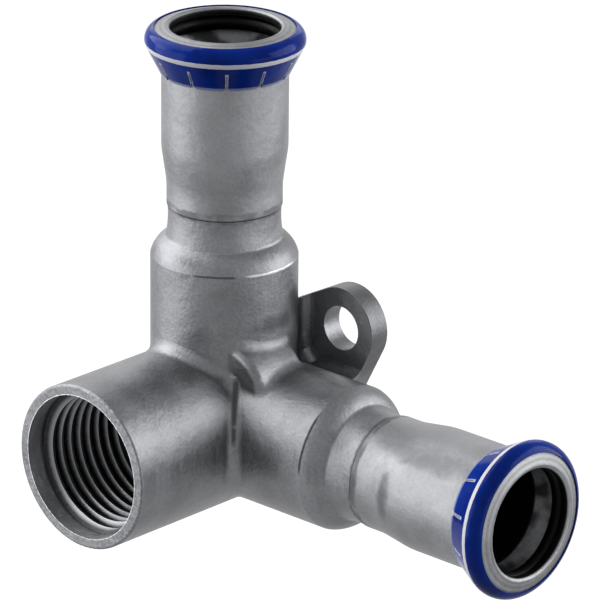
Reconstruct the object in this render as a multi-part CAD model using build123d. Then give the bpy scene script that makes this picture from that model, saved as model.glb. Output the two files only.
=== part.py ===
from build123d import *
import os
from math import acos, asin, atan2, cos, hypot, radians, sin

# Double wall-plate press elbow. The wall is the XZ plane, the room is at -Y, one press socket
# points up (+Z) and one to the side (+X). The origin is on the wall, in the line of the threaded
# port. Every size is in millimetres.

# Places of the mouths, from the point where the three axes cross
crossing_to_socket_mouth = 58.1
crossing_to_port_face = 28.8

# The pipe that is pressed in, and the drawn tube of each socket
pipe_diameter = 15.0
pipe_clearance = 0.25
tube_wall = 1.2
parallel_depth = 17.7
taper_length = 5.2
taper_drop = 0.75
taper_rounding = 12.0
small_end_rounding = 0.35

# The bead at the socket's mouth, which holds the sealing ring
bead_rise = 2.15
bead_rounding = 1.6
bead_below_mouth = 2.0
flare_below_mouth = 6.6
lip_rounding = 0.6

# Sealing ring
seal_section_diameter = 2.04
seal_to_pipe = 0.05
seal_to_bead = 0.02

# Indicator film over the bead
film_thickness = 0.2
film_to_bead = 0.02
film_slits = 12
film_slit_width = 0.25
film_slit_length = 2.6
film_notch_width = 0.9
film_notch_length = 0.8
film_turn = 15.0

# Branches of the casting, and the turned neck on each
branch_inside_port = 1.5
branch_to_wall = 1.8
shoulder_start = 24.4
shoulder_height = 2.8
shoulder_rounding = 4.3
neck_root_over_tube = 0.1
neck_root_fillet = 0.6
neck_waist_under_tube = 0.2
neck_end_under_tube = 0.15
neck_waist_height = 3.2
neck_length = 4.5
waterway_step = 0.3

# Threaded port, bored to the root of the parallel pipe thread that it holds
thread_root_radius = 10.48
thread_depth = 18.0
port_wall = 1.52
port_edge_rounding = 0.35
port_floor_chamfer = 2.0

# Wall plate, with an ear at each end of its diagonal
plate_thickness = 3.15
fixing_circle_diameter = 40.0
fixing_hole_radius = 3.25
ear_radius = 6.0

# Rounded stub in the corner between the branches
stub_radius = 6.4
stub_inside_branch = 3.0
stub_behind_branch = 3.5
stub_back = 2.5
stub_edge_rounding = 1.2

# Fillets of the casting
branch_fillet = 1.6
stub_fillet = 1.8
plate_fillet = 1.4

# Sizes that follow from these
bore_radius = pipe_diameter / 2 + pipe_clearance
tube_radius = bore_radius + tube_wall
small_end_radius = tube_radius - taper_drop
bead_crest_radius = tube_radius + bead_rise
neck_root_radius = small_end_radius + neck_root_over_tube
neck_waist_radius = small_end_radius - neck_waist_under_tube
neck_end_radius = small_end_radius - neck_end_under_tube
waterway_radius = small_end_radius - tube_wall - waterway_step
port_radius = thread_root_radius + port_wall
branch_radius = port_radius - branch_inside_port
wall_to_axes = branch_radius + branch_to_wall
stub_offset = branch_radius - stub_inside_branch
stub_front = branch_radius - stub_behind_branch
parallel_end = crossing_to_socket_mouth - parallel_depth
taper_end = parallel_end - taper_length
neck_start = shoulder_start + shoulder_height
crossing_to_weld = neck_start + neck_length
fixing_reach = fixing_circle_diameter / 2
near = 0.01

upward = Pos(0, -wall_to_axes, 0)
sideways = upward * Rotation(0, 90, 0)
roomward = upward * Rotation(90, 0, 0)


def rounded(section, height, radius):
    """A flat section with the corners at one height rounded."""
    corners = section.vertices().filter_by_position(Axis.Y, height - near, height + near)
    return fillet(corners, radius)


# Cast body


def branch_outside():
    """Cast branch with a rounded shoulder, and the turned neck that the tube is welded to."""
    shoulder = (branch_radius, shoulder_start)
    root = (neck_root_radius, neck_start)
    waist = (neck_waist_radius, neck_start + neck_waist_height)
    neck_end = (neck_end_radius, crossing_to_weld)
    outline = [
        Polyline(neck_end, (0, crossing_to_weld), (0, 0), (branch_radius, 0), shoulder),
        RadiusArc(shoulder, root, -shoulder_rounding),
        ThreePointArc(root, waist, neck_end),
    ]
    section = rounded(make_face(outline), neck_start, neck_root_fillet)
    return revolve(Plane.XZ * section, Axis.Z)


def port_outside():
    """Barrel of the threaded port, which runs through to the wall."""
    length = wall_to_axes + crossing_to_port_face
    barrel = Pos(0, 0, -wall_to_axes) * Cylinder(port_radius, length, align=(Align.CENTER, Align.CENTER, Align.MIN))
    mouth = barrel.edges().filter_by(GeomType.CIRCLE).sort_by(Axis.Z)[-1]
    return fillet(mouth, port_edge_rounding)


def corner_stub():
    """Rounded stub in the inner corner, parallel to the port."""
    section = Pos(stub_offset, stub_offset) * Circle(stub_radius)
    stub = Pos(0, -wall_to_axes + stub_back, 0) * extrude(Plane.XZ * section, stub_front + stub_back)
    return fillet(stub.edges().filter_by(GeomType.CIRCLE), stub_edge_rounding)


def ear(turn):
    """One ear of the wall plate, with flanks that run on from the outside of the port."""
    lean = acos((port_radius - ear_radius) / fixing_reach)
    flank = [(port_radius * cos(lean), port_radius * sin(lean))]
    flank.append((fixing_reach + ear_radius * cos(lean), ear_radius * sin(lean)))
    web = Polygon(*[(x, -y) for x, y in flank], *reversed(flank), align=None)
    outline = web + Pos(fixing_reach, 0) * Circle(ear_radius)
    return extrude(Plane.XZ * Rotation(0, 0, turn) * outline, plate_thickness)


def on_plate_front(edges):
    """The edges that lie wholly in the front face of the wall plate."""
    return edges.filter_by_position(Axis.Y, -plate_thickness - near, -plate_thickness + near)


def towards_ear(edge):
    """How far the middle of an edge lies from the port's axis towards the upper ear."""
    middle = edge @ 0.5
    return (middle.X + middle.Z) * cos(radians(45))


def casting_outside():
    """Outside of the casting, with a fillet wherever two of its forms meet."""
    branches = [place * branch_outside() for place in (upward, sideways)]
    elbow = branches[0] + branches[1]
    elbow = fillet(new_edges(*branches, combined=elbow), branch_fillet)
    barrel = roomward * port_outside()
    pipes = elbow + barrel
    pipes = fillet(new_edges(elbow, barrel, combined=pipes), branch_fillet)

    stub = corner_stub()
    stubbed = pipes + stub
    stubbed = fillet(new_edges(pipes, stub, combined=stubbed), stub_fillet)

    upper_ear = ear(45)
    eared = stubbed + upper_ear
    joint = on_plate_front(new_edges(stubbed, upper_ear, combined=eared))
    eared = fillet([edge for edge in joint if towards_ear(edge) > 0], plate_fillet)
    return eared + ear(225)


def waterways():
    """The three bores, which meet at the crossing, with the wide one for the pipe thread."""
    upright = (Align.CENTER, Align.CENTER, Align.MIN)
    bore = Cylinder(waterway_radius, crossing_to_weld + near, align=upright)
    thread_floor = crossing_to_port_face - thread_depth
    thread_bore = Pos(0, 0, thread_floor) * Cylinder(thread_root_radius, thread_depth + near, align=upright)
    floor_cone = Pos(0, 0, thread_floor - port_floor_chamfer) * Cone(
        thread_root_radius - port_floor_chamfer, thread_root_radius, port_floor_chamfer, align=upright
    )
    port_bore = Cylinder(waterway_radius, thread_floor, align=upright)
    port = roomward * (port_bore + floor_cone + thread_bore)
    return port + upward * bore + sideways * bore + upward * Sphere(waterway_radius)


def screw_holes():
    """The two fixing holes, on the diagonal of the plate."""
    hole = Pos(fixing_reach, 0) * Circle(fixing_hole_radius)
    holes = Rotation(0, 0, 45) * hole + Rotation(0, 0, 225) * hole
    return extrude(Plane.XZ * holes, plate_thickness)


cast_body = casting_outside() - waterways() - screw_holes()


# Press sockets

bead_centre = (
    bead_crest_radius - bead_rounding,
    crossing_to_socket_mouth - bead_below_mouth,
)
flare_start = (tube_radius, crossing_to_socket_mouth - flare_below_mouth)
lip_top = (bore_radius + lip_rounding, crossing_to_socket_mouth)


def tangent_point(start, side):
    """Where the line from a start touches the bead's arc, on its left (1) or right (-1)."""
    across, along = bead_centre[0] - start[0], bead_centre[1] - start[1]
    reach = hypot(across, along)
    heading = atan2(along, across) + side * asin(bead_rounding / reach)
    length = (reach**2 - bead_rounding**2) ** 0.5
    return (start[0] + length * cos(heading), start[1] + length * sin(heading))


def out_from_bead(point, radius):
    """The point at another radius from the bead's centre, in the direction of a first point."""
    return tuple(middle + (far - middle) * radius / bead_rounding for middle, far in zip(bead_centre, point))


def slope(low, high):
    """Rise of a line for each millimetre outwards."""
    return (high[1] - low[1]) / (high[0] - low[0])


def at_radius(point, rise, radius):
    """Height at one radius of a line through a point."""
    return point[1] + (radius - point[0]) * rise


flare_tangent = tangent_point(flare_start, -1)
lip_tangent = tangent_point(lip_top, 1)
crest = (bead_crest_radius, bead_centre[1])
flare_slope = slope(flare_start, flare_tangent)
lip_slope = slope(lip_top, lip_tangent)
flare_inside = out_from_bead(flare_tangent, bead_rounding - tube_wall)
lip_inside = out_from_bead(lip_tangent, bead_rounding - tube_wall)
crest_inside = out_from_bead(crest, bead_rounding - tube_wall)


def press_socket():
    """Drawn tube with the bead at its mouth and a tapered end that stops the pipe."""
    lip_foot = (bore_radius, crossing_to_socket_mouth - lip_rounding)
    outline = [
        RadiusArc(lip_foot, lip_top, lip_rounding),
        Line(lip_top, lip_tangent),
        ThreePointArc(lip_tangent, crest, flare_tangent),
        Polyline(
            flare_tangent,
            flare_start,
            (tube_radius, parallel_end),
            (small_end_radius, taper_end),
            (small_end_radius, crossing_to_weld),
            (small_end_radius - tube_wall, crossing_to_weld),
            (small_end_radius - tube_wall, taper_end),
            (bore_radius, parallel_end),
            (bore_radius, at_radius(flare_inside, flare_slope, bore_radius)),
            flare_inside,
        ),
        ThreePointArc(flare_inside, crest_inside, lip_inside),
        Polyline(lip_inside, (bore_radius, at_radius(lip_inside, lip_slope, bore_radius)), lip_foot),
    ]
    section = make_face(outline)
    for height in (parallel_end, taper_end):
        section = rounded(section, height, taper_rounding)
    small_end = section.vertices().filter_by_position(Axis.Y, crossing_to_weld - near, crossing_to_weld + near)
    section = fillet(small_end.sort_by(Axis.X)[-1], small_end_rounding)
    return revolve(Plane.XZ * section, Axis.Z)


# Sealing rings


def seal_ring():
    """Round rubber ring in the bead, held between the lip and the flare."""
    seal_radius = seal_section_diameter / 2
    centre_radius = pipe_diameter / 2 + seal_to_pipe + seal_radius
    under_lip = at_radius(lip_inside, lip_slope, centre_radius)
    centre_height = under_lip - (seal_radius + seal_to_bead) * hypot(1, lip_slope)
    return Pos(0, 0, centre_height) * Torus(centre_radius, seal_radius)


# Indicator films


def indicator_ring():
    """Plastic film shrunk over the bead, slit into petals where the flare narrows."""
    under = bead_rounding + film_to_bead
    over = under + film_thickness
    out = [(far - middle) / bead_rounding for middle, far in zip(bead_centre, flare_tangent)]
    foot_under = (flare_start[0] + out[0] * film_to_bead, flare_start[1] + out[1] * film_to_bead)
    foot_over = (foot_under[0] + out[0] * film_thickness, foot_under[1] + out[1] * film_thickness)
    outline = [
        ThreePointArc(*[out_from_bead(point, under) for point in (lip_tangent, crest, flare_tangent)]),
        Polyline(out_from_bead(flare_tangent, under), foot_under, foot_over, out_from_bead(flare_tangent, over)),
        ThreePointArc(*[out_from_bead(point, over) for point in (flare_tangent, crest, lip_tangent)]),
        Line(out_from_bead(lip_tangent, over), out_from_bead(lip_tangent, under)),
    ]
    film = revolve(Plane.XZ * make_face(outline), Axis.Z)
    notch = [
        (film_notch_width / 2, foot_over[1]),
        (film_slit_width / 2, foot_over[1] + film_notch_length),
        (film_slit_width / 2, foot_over[1] + film_slit_length),
    ]
    opening = Polygon(*notch, *[(-x, height) for x, height in reversed(notch)], align=None)
    slit = extrude(Plane.XZ * opening, bead_crest_radius + bead_rounding)
    return film - [Rotation(0, 0, film_turn + turn * 360 / film_slits) * slit for turn in range(film_slits)]


os.makedirs("parts", exist_ok=True)
export_step(cast_body, "parts/cast_body.step")
for side, place in {"top": upward, "side": sideways}.items():
    export_step(place * press_socket(), f"parts/press_socket_{side}.step")
    export_step(place * seal_ring(), f"parts/seal_ring_{side}.step")
    export_step(place * indicator_ring(), f"parts/indicator_ring_{side}.step")
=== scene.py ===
import math

import bpy
from mathutils import Matrix, Vector


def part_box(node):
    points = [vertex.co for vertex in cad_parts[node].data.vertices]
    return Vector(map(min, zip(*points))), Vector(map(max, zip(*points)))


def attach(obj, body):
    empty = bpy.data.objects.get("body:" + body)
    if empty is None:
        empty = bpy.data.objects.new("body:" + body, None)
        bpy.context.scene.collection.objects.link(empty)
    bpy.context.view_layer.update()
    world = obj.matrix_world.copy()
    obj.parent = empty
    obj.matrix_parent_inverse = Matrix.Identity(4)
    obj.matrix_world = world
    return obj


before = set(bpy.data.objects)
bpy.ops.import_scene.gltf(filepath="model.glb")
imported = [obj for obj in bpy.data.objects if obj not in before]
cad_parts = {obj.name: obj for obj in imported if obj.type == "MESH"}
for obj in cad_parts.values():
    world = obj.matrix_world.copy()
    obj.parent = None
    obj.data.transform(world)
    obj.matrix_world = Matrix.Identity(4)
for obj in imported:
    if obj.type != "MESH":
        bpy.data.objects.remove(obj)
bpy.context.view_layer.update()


# Cast body. One investment casting in stainless steel: the threaded port, the two branches, the
# stub between them and the wall plate. It is bead blasted all over, which leaves a fine satin
# grain, and it has a few rubbed streaks from handling and from the polishing of the branches.

MM = 0.001
SQUARE_MM = MM * MM

# Places are measured from the point where the three axes cross, and bores are radii. The front
# corner, between the port and the side branch, is the one that hands rub. A painted highlight
# sits on the upright branch's edge to its right.
WALL_TO_AXES = 12.3 * MM
AXES_TO_PORT_FACE = 28.8 * MM
FACE_TO_THREAD = 2.2 * MM
THREAD_ROOT = 10.5 * MM
SHOULDER = 24.4 * MM
PLATE_THICKNESS = 3.15 * MM
FIXING_CIRCLE_DIAMETER = 40 * MM
WELD_FROM = 31.5 * MM
WELD_TO = 32.7 * MM
SOCKET_BORE = 7.75 * MM
FRONT_CORNER = math.radians(43)

BLOTCH_SIZE = 7 * MM
DENT_SIZE = 2.2 * MM
DENT_DEPTH = 0.11 * MM
GRAIN_SIZE = 0.4 * MM
STREAK_SIZE = 0.8 * MM
UPRIGHT_STREAKS = (1, 1, 9)
STREAKS_END = 11 * MM
STREAKS_FULL = 5 * MM

STAIN_AND_PAINTED_SHADE = (0.03, 0.03, 0.033, 1)
WORN_DARK_AND_PAINTED_SHADE = (0.02, 0.02, 0.022, 1)
NEAR_BLACK_EDGE = (0.01, 0.01, 0.01, 1)
PAINTED_LIGHT_EAR = (0.34, 0.345, 0.36, 1)
PAINTED_RIM_SHADE = (0.035, 0.036, 0.038, 1)
PAINTED_LIGHT_BORE = (0.5, 0.505, 0.52, 1)
PITTED = (0.035, 0.035, 0.038, 1)
PAINTED_EDGE_HIGHLIGHT = (0.42, 0.43, 0.44, 1)
PAINTED_BORE_SHADE = (0.004, 0.004, 0.004, 1)


class Wire:
    """A shader socket that takes part in sums, and adds nodes to its own material."""

    def __init__(self, tree, socket=None):
        self.tree = tree
        self.socket = socket

    def node(self, kind, settings, inputs, output=0):
        """A node of one type, with its settings made first, and the socket that comes out of it."""
        made = self.tree.nodes.new(kind)
        for name, value in settings.items():
            setattr(made, name, value)
        for name, value in inputs.items():
            if isinstance(value, Wire):
                self.tree.links.new(value.socket, made.inputs[name])
            else:
                made.inputs[name].default_value = value
        return Wire(self.tree, made.outputs[output] if made.outputs else None)

    def maths(self, operation, *values):
        """A Math node with these values."""
        return self.node("ShaderNodeMath", {"operation": operation}, dict(enumerate(values)))

    def __add__(self, other):
        return self.maths("ADD", self, other)

    def __sub__(self, other):
        return self.maths("SUBTRACT", self, other)

    def __rsub__(self, other):
        return self.maths("SUBTRACT", other, self)

    def __mul__(self, other):
        return self.maths("MULTIPLY", self, other)

    __radd__ = __add__
    __rmul__ = __mul__

    def square(self):
        """This value times itself."""
        return self * self

    def between(self, low, high):
        """0 up to the first value, 1 past the second, smooth between; the first may be the larger."""
        smooth = {"interpolation_type": "SMOOTHSTEP"}
        return self.node("ShaderNodeMapRange", smooth, {"Value": self, "From Min": low, "From Max": high})

    def band(self, low, high, soft):
        """1 between two values, 0 outside them, and smooth over a short way."""
        return self.between(low - soft, low) * self.between(high + soft, high)

    def blend(self, first, second):
        """A colour between two, by this value. A Mix node's colours are its sockets 6 and 7."""
        return self.node("ShaderNodeMix", {"data_type": "RGBA"}, {0: self, 6: first, 7: second}, output=2)

    def place(self):
        """The place on the object, in metres."""
        return self.node("ShaderNodeTexCoord", {}, {}, output="Object")

    def axes(self):
        """The three coordinates of the place on the object, in metres."""
        place = {"Vector": self.place()}
        return [self.node("ShaderNodeSeparateXYZ", {}, place, output=axis) for axis in "XYZ"]

    def noise(self, size, detail=3.0, stretch=(1, 1, 1)):
        """Noise over the object whose blotches are one size across, in metres."""
        scale = tuple(1 / (size * wide) for wide in stretch)
        mapped = self.node("ShaderNodeMapping", {}, {"Vector": self.place(), "Scale": scale})
        return self.node("ShaderNodeTexNoise", {}, {"Vector": mapped, "Scale": 1.0, "Detail": detail})

    def bump(self, height, depth, under=None):
        """Relief of one depth, in metres, laid over another relief if there is one."""
        inputs = {"Height": height, "Strength": 1.0, "Distance": depth}
        if under:
            inputs["Normal"] = under
        return self.node("ShaderNodeBump", {}, inputs)


def clear_nodes(owner):
    """Empties a material or a world of its nodes, and gives the wire that starts new ones."""
    owner.use_nodes = True
    owner.node_tree.nodes.clear()
    return Wire(owner.node_tree)


def new_material(name):
    """An empty node material, with the wire that starts its nodes."""
    material = bpy.data.materials.new(name)
    return material, clear_nodes(material)


def finish_material(wire, inputs):
    """The main shader of a material, joined to its output."""
    shader = wire.node("ShaderNodeBsdfPrincipled", {}, inputs)
    wire.node("ShaderNodeOutputMaterial", {}, {"Surface": shader})


def give(node, material):
    """A CAD piece takes a material in place of its plain one."""
    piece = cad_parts[node]
    piece.data.materials.clear()
    piece.data.materials.append(material)


class Skin:
    """The surface of the fitting, by its places in metres from the point where the axes cross."""

    def __init__(self, wire):
        self.wire = wire
        self.x, y, self.z = wire.axes()
        self.to_wall = y + WALL_TO_AXES
        self.in_front = self.to_wall.between(-2 * MM, -4 * MM)
        self.along_socket = wire.maths("MAXIMUM", self.x, self.z)
        across = wire.maths("MINIMUM", self.x, self.z)
        self.socket_radius = wire.maths("SQRT", across.square() + self.to_wall.square())
        self.dents = wire.noise(DENT_SIZE)

    def shoulder_edge(self, axis, below, above, wander):
        """The crisp edge where a branch's shoulder starts, as a thin line that wanders."""
        place = axis + (self.dents - 0.5) * wander
        return place.band(SHOULDER - below, SHOULDER + above, 0.12 * MM)


def weld_stain(skin):
    """The narrow discolouring of a weld, which wanders and breaks off."""
    wander = 0.9 * MM
    place = skin.along_socket + (skin.wire.noise(1.5 * MM) - 0.5) * wander
    whole = skin.wire.noise(3 * MM, detail=2.0).between(0.3, 0.6)
    return place.band(WELD_FROM, WELD_TO, 0.3 * MM) * whole


def dark_patch(skin, middle, reach, strength):
    """A soft dark patch, with its middle and its reach each way in millimetres."""
    away = skin.dents * 1.4
    for axis, centre, wide in zip((skin.x, skin.to_wall, skin.z), middle, reach):
        away = away + ((axis - centre * MM) * (1 / (wide * MM))).square()
    return away.between(1.9, 0.5) * strength


def bore_shade(skin):
    """Painted shade deep in the bores of the branches and sockets."""
    past_port = 14 * MM
    inside = skin.socket_radius.between(SOCKET_BORE + 0.15 * MM, SOCKET_BORE + 0.05 * MM)
    return inside * skin.along_socket.between(past_port, past_port + 2 * MM)


def steel(name, light, dark, rough, grain_depth, dark_patches, own_marks):
    """Satin stainless steel: soft blotches, fine grain, rubbed streaks, and the marks laid over them."""
    material, wire = new_material(name)
    skin = Skin(wire)
    blotches = wire.noise(BLOTCH_SIZE, detail=5.0).between(0.3, 0.7)
    grain = wire.noise(GRAIN_SIZE)
    streaks = wire.noise(STREAK_SIZE, detail=4.0, stretch=UPRIGHT_STREAKS).between(0.45, 0.75)
    streaks = streaks * skin.z.between(STREAKS_END, STREAKS_FULL)
    stain_and_shade = weld_stain(skin)
    # Most dark patches are painted shade and painted dark reflections; one darkens a weld seam.
    for middle, reach, strength in dark_patches:
        stain_and_shade = wire.maths("MAXIMUM", stain_and_shade, dark_patch(skin, middle, reach, strength))
    lightness = blotches * 0.55 + grain.between(0.3, 0.7) * 0.3 + streaks * 0.3
    colour = lightness.blend(dark, light)
    # The bores are darkened as painted shade.
    marks = [(stain_and_shade, 0.5, STAIN_AND_PAINTED_SHADE)] + own_marks(skin) + [(bore_shade(skin), 0.94, PAINTED_BORE_SHADE)]
    for mark, strength, shade in marks:
        colour = (mark * strength).blend(colour, shade)
    finish_material(wire, {
        "Base Color": colour,
        "Metallic": 1.0,
        "Roughness": blotches * 0.06 + grain * 0.08 + stain_and_shade * 0.1 + streaks * 0.1 + rough,
        "Normal": wire.bump(grain, grain_depth, under=wire.bump(skin.dents, DENT_DEPTH)),
    })
    return material


def crease_painted_shade(skin):
    """Painted shade in the crease between the port and the side branch, above their middle."""
    middle, half_width, soft = 33 * SQUARE_MM, 4 * SQUARE_MM, 12 * SQUARE_MM
    off_diagonal = skin.x.square() - skin.to_wall.square()
    crease = off_diagonal.band(middle - half_width, middle + half_width, soft)
    dirt_from, dirt_to = 2.4 * MM, 9 * MM
    above_middle = skin.z.band(dirt_from, dirt_to, 1.5 * MM)
    beside_port = skin.x.between(2 * MM, 4 * MM) * skin.in_front
    return crease * above_middle * beside_port * skin.dents.between(0.2, 0.5)


def side_edge_dark_line(skin):
    """A near-black line along the crisp edge of the side branch, towards the port."""
    dirt_from, dirt_to = 1.5 * MM, 7.5 * MM
    edge = skin.shoulder_edge(skin.x, 0.12 * MM, 0.12 * MM, wander=0.2 * MM)
    return edge * skin.z.band(dirt_from, dirt_to, 1.5 * MM) * skin.in_front


def ear_marks(skin):
    """Painted light on the front of the ears, and painted shade on the rim round them."""
    front = WALL_TO_AXES - PLATE_THICKNESS
    hole_aside = FIXING_CIRCLE_DIAMETER / 2 / math.sqrt(2)
    from_hole_x, from_hole_z = (skin.wire.maths("ABSOLUTE", axis) - hole_aside for axis in (skin.x, skin.z))
    on_ear = skin.wire.maths("MINIMUM", from_hole_x, from_hole_z).between(-9 * MM, -5 * MM)
    off_hole = (from_hole_x.square() + from_hole_z.square()).between(20 * SQUARE_MM, 30 * SQUARE_MM)
    on_front = skin.to_wall.band(front - 0.05 * MM, front + 0.01 * MM, 0.02 * MM)
    on_rim = skin.to_wall.band(front + 0.03 * MM, WALL_TO_AXES - 0.05 * MM, 0.02 * MM)
    return on_ear * on_front, on_ear * on_rim * off_hole * (skin.dents * 0.6 + 0.25)


def port_marks(skin):
    """Painted light on the bore in front of the thread, and the pitted face of the port."""
    radius = skin.wire.maths("SQRT", skin.x.square() + skin.z.square())
    from_face = skin.to_wall + AXES_TO_PORT_FACE
    bore = radius.between(THREAD_ROOT + 0.08 * MM, THREAD_ROOT + 0.04 * MM)
    before_thread = from_face.between(FACE_TO_THREAD + 0.6 * MM, FACE_TO_THREAD)
    pits = skin.wire.noise(0.5 * MM, detail=5.0).between(0.42, 0.62)
    return bore * before_thread, from_face.between(0.3 * MM, 0.1 * MM) * pits


def top_edge_marks(skin):
    """The crisp edge of the upright branch, worn dark at the front corner, with a painted highlight to its
    right.
    """
    worn_from, worn_to = -3.6 * MM, 1.2 * MM
    highlight_from, highlight_to = 4.2 * MM, 9 * MM
    edge = skin.shoulder_edge(skin.z, 0.15 * MM, 0.05 * MM, wander=0.3 * MM)
    aside = skin.x * math.cos(FRONT_CORNER) + skin.to_wall * math.sin(FRONT_CORNER)
    return edge * aside.band(worn_from, worn_to, 1 * MM), edge * aside.band(highlight_from, highlight_to, 1.5 * MM)


def casting_marks(skin):
    """What only the casting has: each mark, how strong it is, and its colour."""
    ear_front, ear_rim = ear_marks(skin)
    lit_entry_bore, pitted_face = port_marks(skin)
    worn_edge, edge_highlight = top_edge_marks(skin)
    return [
        # Painted shade in the crease; the worn edge further down shares its dark colour.
        (crease_painted_shade(skin), 0.75, WORN_DARK_AND_PAINTED_SHADE),
        # A near-black line along the side branch's crisp edge.
        (side_edge_dark_line(skin), 0.8, NEAR_BLACK_EDGE),
        # Painted light on the ear fronts, and painted shade on their rims.
        (ear_front, 0.4, PAINTED_LIGHT_EAR),
        (ear_rim, 1.0, PAINTED_RIM_SHADE),
        # Painted light on the bore before the thread.
        (lit_entry_bore, 0.9, PAINTED_LIGHT_BORE),
        (pitted_face, 0.38, PITTED),
        (worn_edge, 0.7, WORN_DARK_AND_PAINTED_SHADE),
        # A painted highlight on the upright branch's edge.
        (edge_highlight, 0.8, PAINTED_EDGE_HIGHLIGHT),
    ]


give("cast_body", steel(
    "blasted_cast_steel",
    light=(0.185, 0.188, 0.197, 1),
    dark=(0.1, 0.102, 0.108, 1),
    rough=0.4,
    grain_depth=0.035 * MM,
    # This dark patch is painted shade, in the valley between the upright branch and the stub.
    dark_patches=[((10.4, -0.5, 16.6), (2.5, 6.5, 1.7), 1.3)],
    own_marks=casting_marks,
))


# Pipe thread. The port holds a 1/2 inch parallel pipe thread, cut into the casting after it was
# made, so its crests are brighter than the cast skin, and its roots are painted dark as shade. The
# thread runs out over a part of a turn at both ends.

THREAD_CREST = 9.32 * MM
THREAD_MIDDLE = (THREAD_ROOT + THREAD_CREST) / 2
THREAD_PITCH = 1.814 * MM
THREAD_TURNS = 8
THREAD_STEPS = 96
RUN_OUT_TURNS = 0.3
RUN_OUT_END = 0.02
CREST_WIDTH = 0.4 * MM
ROOT_WIDTH = 1.64 * MM
OIL_FROM = 10.15 * MM
BRIGHT_FROM = 9.4 * MM
PAINTED_ROOT_SHADE = (0.02, 0.02, 0.021, 1)
BRIGHT_CREST = (0.175, 0.179, 0.187, 1)

# The ridge's section is a plane whose inner edge is narrowed, wound round the port's axis.
bpy.ops.object.select_all(action="DESELECT")
bpy.ops.mesh.primitive_plane_add(size=1, rotation=(math.radians(90), 0, 0))
thread = bpy.context.object
thread.name = thread.data.name = "pipe_thread"
thread.scale = (THREAD_ROOT - THREAD_CREST, ROOT_WIDTH, 1)
thread.location = (THREAD_MIDDLE, 0, 0)
bpy.ops.object.transform_apply()
for corner in thread.data.vertices:
    if corner.co.x < THREAD_MIDDLE:
        corner.co.z *= CREST_WIDTH / ROOT_WIDTH
section_corners = len(thread.data.vertices)
helix = thread.modifiers.new("helix", "SCREW")
helix.axis = "Z"
helix.screw_offset = THREAD_PITCH
helix.iterations = THREAD_TURNS
helix.steps = helix.render_steps = THREAD_STEPS
helix.use_merge_vertices = False
bpy.ops.object.modifier_apply(modifier=helix.name)

# The crest sinks into the root over the first and the last part of a turn.
for corner in thread.data.vertices:
    turn = corner.index // section_corners / THREAD_STEPS
    share = min(1, turn / RUN_OUT_TURNS, (THREAD_TURNS - turn) / RUN_OUT_TURNS)
    radius = corner.co.to_2d().length
    sunk = THREAD_ROOT - (THREAD_ROOT - radius) * max(share, RUN_OUT_END)
    corner.co.x, corner.co.y = corner.co.to_2d() * sunk / radius

# Both ends are closed, and the helix is turned into the port.
bpy.ops.object.mode_set(mode="EDIT")
bpy.ops.mesh.select_all(action="DESELECT")
bpy.ops.mesh.select_non_manifold()
bpy.ops.mesh.edge_face_add()
bpy.ops.mesh.select_all(action="SELECT")
bpy.ops.mesh.normals_make_consistent(inside=False)
bpy.ops.object.mode_set(mode="OBJECT")
cast_low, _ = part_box("cast_body")
port_face = cast_low[1]
thread.rotation_euler.x = math.radians(90)
thread.location.y = port_face + FACE_TO_THREAD + THREAD_TURNS * THREAD_PITCH + ROOT_WIDTH / 2
bpy.ops.object.transform_apply()
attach(thread, "root")

cut_steel, wire = new_material("cut_thread_steel")
x, _, z = wire.axes()
up_ridge = wire.maths("SQRT", x.square() + z.square()).between(OIL_FROM, BRIGHT_FROM)
rub = wire.noise(0.5 * MM)
finish_material(wire, {
    # The thread's roots are darkened as painted shade.
    "Base Color": (up_ridge + rub * 0.4 - 0.2).blend(PAINTED_ROOT_SHADE, BRIGHT_CREST),
    "Metallic": 1.0,
    "Roughness": rub * 0.15 + 0.3,
    "Normal": wire.bump(rub, 0.02 * MM),
})
thread.data.materials.append(cut_steel)


# Press sockets. Each is drawn from stainless tube, with a bead rolled at its mouth and a tapered
# end that stops the pipe, and it is welded to the turned neck of the casting. The side one has
# two dark bands painted on it as reflections, and a darker weld seam.

FLARE_START = 51.5 * MM
FLARE_SLOPE = 0.5
BEAD_SHADE_END = 56.6 * MM
LIP_START = 56.9 * MM
LIP_RING_PITCH = 0.75 * MM
SHADED_BEAD = (0.008, 0.008, 0.008, 1)
PAINTED_RING_SHADE = (0.04, 0.041, 0.044, 1)
SOCKETS = ("top", "side")


def socket_marks(skin):
    """Painted shade inside the beads, broken by lighter patches, and rings of painted shade on the lips."""
    in_flare = skin.socket_radius - (skin.along_socket - FLARE_START) * FLARE_SLOPE
    in_bead = skin.along_socket.band(FLARE_START - 0.1 * MM, BEAD_SHADE_END, 0.4 * MM)
    patches = skin.wire.noise(4 * MM, detail=2.0).between(0.6, 0.4) * 0.8 + 0.1
    inside_bead = in_flare.between(SOCKET_BORE + 0.65 * MM, SOCKET_BORE + 0.45 * MM) * in_bead * patches
    uneven_radius = skin.socket_radius + skin.dents * (0.15 * MM)
    rings = skin.wire.maths("SINE", uneven_radius * (math.tau / LIP_RING_PITCH)).between(-1.0, 1.0)
    on_lip = skin.along_socket.between(LIP_START, LIP_START + 0.4 * MM)
    # Both marks are painted shade.
    return [(inside_bead, 1.0, SHADED_BEAD), (rings * on_lip, 0.35, PAINTED_RING_SHADE)]


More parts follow.
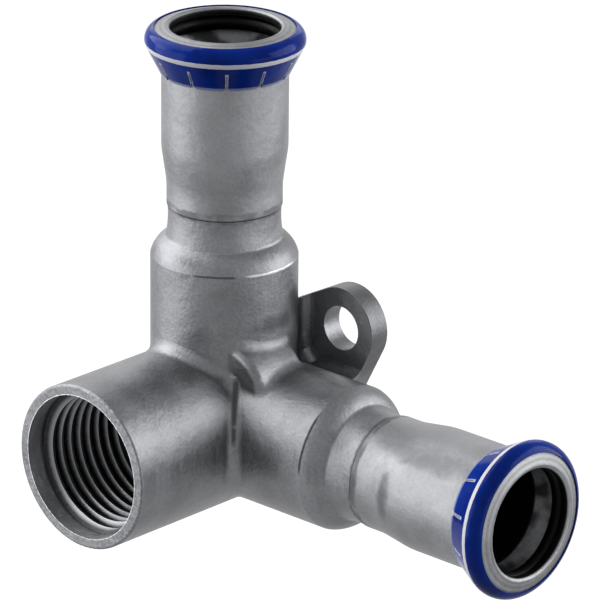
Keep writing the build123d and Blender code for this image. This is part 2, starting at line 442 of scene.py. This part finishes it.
drawn_steel = steel(
    "drawn_tube_steel",
    light=(0.2, 0.204, 0.213, 1),
    dark=(0.13, 0.132, 0.138, 1),
    rough=0.42,
    grain_depth=0.015 * MM,
    # The first two patches are painted reflections, dark bands on the side tube; the third darkens its weld
    # seam.
    dark_patches=[
        ((38.4, -8.4, 0.6), (1.4, 4, 4), 1.2),
        ((43.8, -5.8, 7), (13, 3, 1.7), 0.7),
        ((32.3, -8, 0.5), (0.9, 3.5, 4.5), 1.3),
    ],
    own_marks=socket_marks,
)
for side in SOCKETS:
    give(f"press_socket_{side}", drawn_steel)


# Sealing rings. Each is moulded in black rubber, and pushed into the bead by hand. It is slightly
# greased, so that the pipe slides in, and has a faint bloom.

RUBBER_BLACK = (0.001, 0.001, 0.001, 1)
RUBBER_BLOOM = (0.003, 0.003, 0.003, 1)

rubber, wire = new_material("black_seal_rubber")
bloom = wire.noise(2 * MM, detail=4.0).between(0.4, 0.75)
finish_material(wire, {
    "Base Color": bloom.blend(RUBBER_BLACK, RUBBER_BLOOM),
    "Roughness": bloom * 0.2 + 0.4,
    "Specular IOR Level": 0.06,
    "Normal": wire.bump(wire.noise(0.3 * MM, detail=2.0), 0.01 * MM),
})
for side in SOCKETS:
    give(f"seal_ring_{side}", rubber)


# Indicator films. Thin blue plastic, shrunk over the bead, with a silver line round its crest. It
# is slit below the line, and white is painted along the slits as highlights of the lifted flaps.

FILM_END = 51.65 * MM
LINE_FROM = 55.15 * MM
LINE_TO = 55.8 * MM
LINE_TILT = 0.008
SLITS = 12
SLIT_TOP = 54.1 * MM
WHITE_WITHIN = 0.04
PLAIN_BEYOND = 0.065
DEEP_BLUE = (0.0003, 0.008, 0.1, 1)
LIGHTER_BLUE = (0.0006, 0.015, 0.155, 1)
PALE_END_AND_SLIT_HIGHLIGHT = (0.42, 0.45, 0.52, 1)
SILVER = (0.4, 0.41, 0.44, 1)


def slit_highlights(wire, aside, to_wall, tremble):
    """The painted highlights along the slits, at even steps round the axis; their widths are shares of a
    step.
    """
    step = wire.maths("FRACT", wire.maths("ARCTAN2", aside, to_wall) * (SLITS / math.tau))
    from_slit = wire.maths("ABSOLUTE", step - 0.5) + tremble * 0.03
    return from_slit.between(PLAIN_BEYOND, WHITE_WITHIN)


def blue_film(name, along, across):
    """Deep blue plastic film with a silver line; the axes are the socket's and one across it."""
    material, wire = new_material(name)
    axes = wire.axes()
    height = axes[along]
    to_wall = axes[1] + WALL_TO_AXES
    shade = wire.noise(5 * MM, detail=2.0).between(0.3, 0.7)
    tremble = wire.noise(0.9 * MM)
    level = height + (tremble - 0.5) * (0.12 * MM)
    line = (level + to_wall * LINE_TILT).band(LINE_FROM, LINE_TO, 0.04 * MM)
    slits = slit_highlights(wire, axes[across], to_wall, tremble) * height.between(SLIT_TOP + 0.3 * MM, SLIT_TOP)
    # White along the slits is a painted highlight; the film's lower end is whitened too.
    white = wire.maths("MAXIMUM", slits * 0.8, level.between(FILM_END + 0.3 * MM, FILM_END) * 0.35)
    blue = white.blend(shade.blend(DEEP_BLUE, LIGHTER_BLUE), PALE_END_AND_SLIT_HIGHLIGHT)
    finish_material(wire, {
        "Base Color": line.blend(blue, SILVER),
        "Roughness": shade * 0.05 + line * 0.15 + white * 0.3 + 0.11,
        "Specular IOR Level": 0.04,
        "Normal": wire.bump(wire.noise(2.5 * MM, detail=2.0), 0.08 * MM),
    })
    return material


give("indicator_ring_top", blue_film("blue_film_top", along=2, across=0))
give("indicator_ring_side", blue_film("blue_film_side", along=0, across=2))


# Camera. It was fitted to the photograph's outline: a long lens that looks at the corner between
# the port and the side branch, a little from above.

CAMERA_AZIMUTH = 42.87
CAMERA_ELEVATION = 20.84
CAMERA_ROLL = math.radians(0.547)
CAMERA_DISTANCE = 777.3 * MM
CAMERA_ASIDE = 10.90 * MM
CAMERA_ABOVE = 16.00 * MM
CAMERA_CLIP = 10 * MM
SENSOR = 36.0
PHOTO_WIDTH = 600
FOCAL_PIXELS = 5438.1


def outward(turn, height):
    """The direction away from the part, at a turn from the port's axis and a height, in degrees."""
    turn = math.radians(turn)
    height = math.radians(height)
    return Vector((math.sin(turn) * math.cos(height), -math.cos(turn) * math.cos(height), math.sin(height)))


back = outward(CAMERA_AZIMUTH, CAMERA_ELEVATION)
level_right = outward(CAMERA_AZIMUTH + 90, 0)
level_up = back.cross(level_right)
right = math.cos(CAMERA_ROLL) * level_right + math.sin(CAMERA_ROLL) * level_up
up = math.cos(CAMERA_ROLL) * level_up - math.sin(CAMERA_ROLL) * level_right
axes_crossing = Vector((0, -WALL_TO_AXES, 0))
place = axes_crossing + CAMERA_ASIDE * right + CAMERA_ABOVE * up + CAMERA_DISTANCE * back
camera_data = bpy.data.cameras.new("camera")
camera_data.sensor_width = SENSOR
camera_data.lens = SENSOR * FOCAL_PIXELS / PHOTO_WIDTH
camera_data.clip_start = CAMERA_CLIP
camera = bpy.data.objects.new("camera", camera_data)
bpy.context.scene.collection.objects.link(camera)
camera.matrix_world = Matrix.Translation(place) @ Matrix((right, up, back)).transposed().to_4x4()
bpy.context.scene.camera = camera


# Studio. A pale floor well below the part, a white world and five soft boxes: two on the left, one
# on the right, a weak one nearer the camera, and a weak one behind the part.

FLOOR_DROP = 0.25
FLOOR_SIZE = 12.0
FLOOR_COLOUR = (0.1, 0.1, 0.1, 1)
FLOOR_GLOW = 0.95
WORLD_ON_PART = 0.5
WORLD_IN_PICTURE = 1.0
WHITE = (1, 1, 1, 1)


def in_picture(wire):
    """1 for a ray from the camera and for one that the part mirrors or lets through, and else 0."""
    path = "ShaderNodeLightPath"
    from_camera, mirrored, let_through = (
        wire.node(path, {}, {}, output=f"Is {kind} Ray") for kind in ("Camera", "Glossy", "Transmission")
    )
    return (from_camera + mirrored + let_through).between(0.0, 1.0)


bpy.ops.object.select_all(action="DESELECT")
bpy.ops.mesh.primitive_plane_add(size=FLOOR_SIZE, location=(0, 0, -FLOOR_DROP))
floor = bpy.context.object
floor.name = "floor"
floor_material, wire = new_material("pale_floor")
matt = wire.node("ShaderNodeBsdfDiffuse", {}, {"Color": FLOOR_COLOUR})
glow = wire.node("ShaderNodeEmission", {}, {"Color": WHITE, "Strength": FLOOR_GLOW})
glowing = wire.node("ShaderNodeAddShader", {}, {0: matt, 1: glow})
mixed = wire.node("ShaderNodeMixShader", {}, {0: in_picture(wire), 1: matt, 2: glowing})
wire.node("ShaderNodeOutputMaterial", {}, {"Surface": mixed})
floor.data.materials.append(floor_material)

world = bpy.data.worlds.new("studio")
bpy.context.scene.world = world
wire = clear_nodes(world)
on_part = wire.node("ShaderNodeBackground", {}, {"Color": WHITE, "Strength": WORLD_ON_PART})
behind = wire.node("ShaderNodeBackground", {}, {"Color": WHITE, "Strength": WORLD_IN_PICTURE})
mixed = wire.node("ShaderNodeMixShader", {}, {0: in_picture(wire), 1: on_part, 2: behind})
wire.node("ShaderNodeOutputWorld", {}, {"Surface": mixed})


def soft_box(name, turn, height, away, size, power):
    """A soft box that faces the part: turn is from the camera to the right, in degrees."""
    out = outward(CAMERA_AZIMUTH + turn, height)
    lamp = bpy.data.lights.new(name, "AREA")
    lamp.shape = "RECTANGLE"
    lamp.size, lamp.size_y = size
    lamp.energy = power
    box = bpy.data.objects.new(name, lamp)
    bpy.context.scene.collection.objects.link(box)
    box.matrix_world = Matrix.Translation(out * away) @ out.to_track_quat("Z", "Y").to_matrix().to_4x4()


soft_box("left_box", turn=-86, height=3, away=0.8, size=(0.85, 0.8), power=10.0)
soft_box("high_box", turn=-120, height=42, away=0.8, size=(0.7, 0.8), power=10.0)
soft_box("right_box", turn=94, height=15, away=0.8, size=(0.7, 0.6), power=8.6)
soft_box("front_box", turn=53, height=-3, away=0.9, size=(0.55, 0.4), power=1.8)
soft_box("back_box", turn=180, height=25, away=0.9, size=(0.8, 0.4), power=1.6)

bpy.context.scene.view_settings.view_transform = "Standard"
